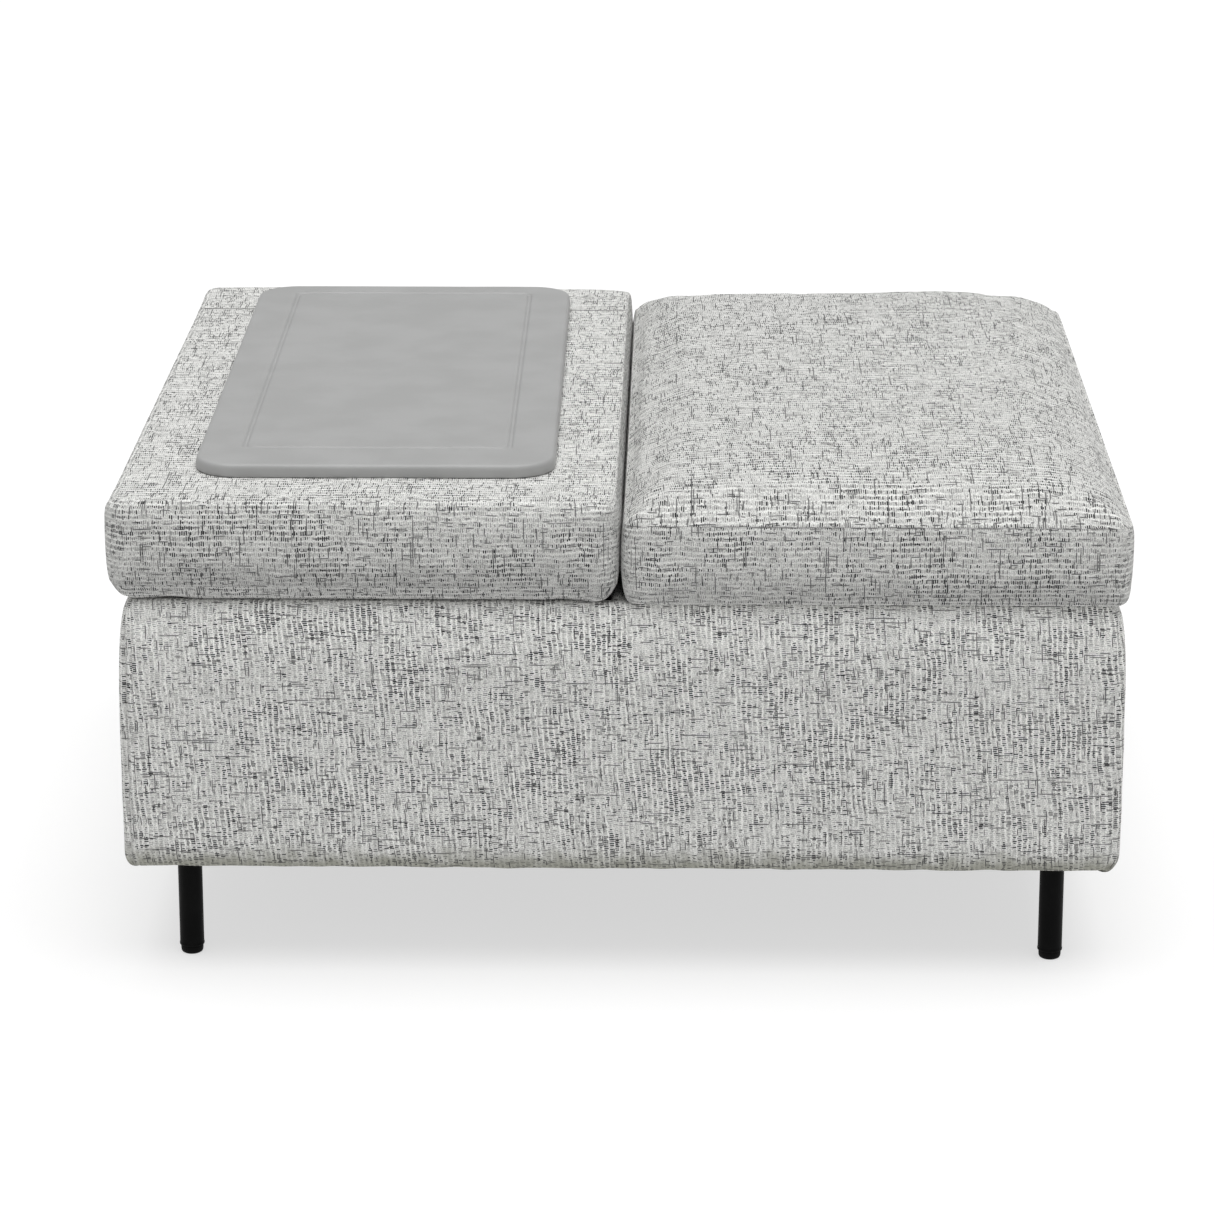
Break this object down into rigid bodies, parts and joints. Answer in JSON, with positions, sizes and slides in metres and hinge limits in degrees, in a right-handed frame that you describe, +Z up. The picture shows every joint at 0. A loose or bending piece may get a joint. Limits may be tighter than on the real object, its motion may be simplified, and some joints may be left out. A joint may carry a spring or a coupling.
{
  "type": "storage ottoman",
  "caption": "Square upholstered storage ottoman on round metal legs, closed by paired lift-off lids that are a cushion on one face and a tray on the other.",
  "frame": {"origin": "on the floor, under the middle of the ottoman", "axes": "+X to the right, -Y towards the front, +Z up"},
  "size_m": [1.028, 0.975, 0.5162],
  "materials": {
    "upholstery": "woven grey and black slub tweed",
    "tray_covering": "satin grey leatherette",
    "leg_paint": "black powder coat",
    "glide_plastic": "black moulded plastic",
    "plywood": "unfinished plywood",
    "fibreboard": "raw fibreboard",
    "foam": "open-cell polyurethane foam",
    "lining_cloth": "black nonwoven cloth",
    "zinc_steel": "zinc plate"
  },
  "bodies": {
    "base": {"front_panel": "plywood", "back_panel": "plywood", "left_panel": "plywood", "right_panel": "plywood", "centre_divider": "plywood", "deck": "plywood", "deck_cleats": "plywood", "deck_crosspiece": "plywood", "corner_blocks": "plywood", "front_cover": "upholstery", "back_cover": "upholstery", "left_cover": "upholstery", "right_cover": "upholstery", "divider_cover": "upholstery", "left_lining": "lining_cloth", "right_lining": "lining_cloth", "dust_cover": "lining_cloth", "front_left_leg": "leg_paint", "front_right_leg": "leg_paint", "back_left_leg": "leg_paint", "back_right_leg": "leg_paint", "front_left_glide": "glide_plastic", "front_right_glide": "glide_plastic", "back_left_glide": "glide_plastic", "back_right_glide": "glide_plastic", "leg_studs": "zinc_steel", "tee_nuts": "zinc_steel", "frame_screws": "zinc_steel"},
    "left_lid": {"left_lid_board": "plywood", "left_lid_foam": "foam", "left_lid_top_cover": "upholstery", "left_lid_border": "upholstery", "left_lid_base_cloth": "upholstery", "left_tray_core": "fibreboard", "left_tray_wrap": "tray_covering", "left_tray_screws": "zinc_steel"},
    "right_lid": {"right_lid_board": "plywood", "right_lid_foam": "foam", "right_lid_top_cover": "upholstery", "right_lid_border": "upholstery", "right_lid_base_cloth": "upholstery", "right_tray_core": "fibreboard", "right_tray_wrap": "tray_covering", "right_tray_screws": "zinc_steel"}
  },
  "joints": [
    {"name": "left_lid_lift", "type": "slide", "parent": "base", "child": "left_lid", "axis": [0, 0, 1], "range_m": [0, 0.3]},
    {"name": "right_lid_lift", "type": "slide", "parent": "base", "child": "right_lid", "axis": [0, 0, 1], "range_m": [0, 0.3]}
  ]
}
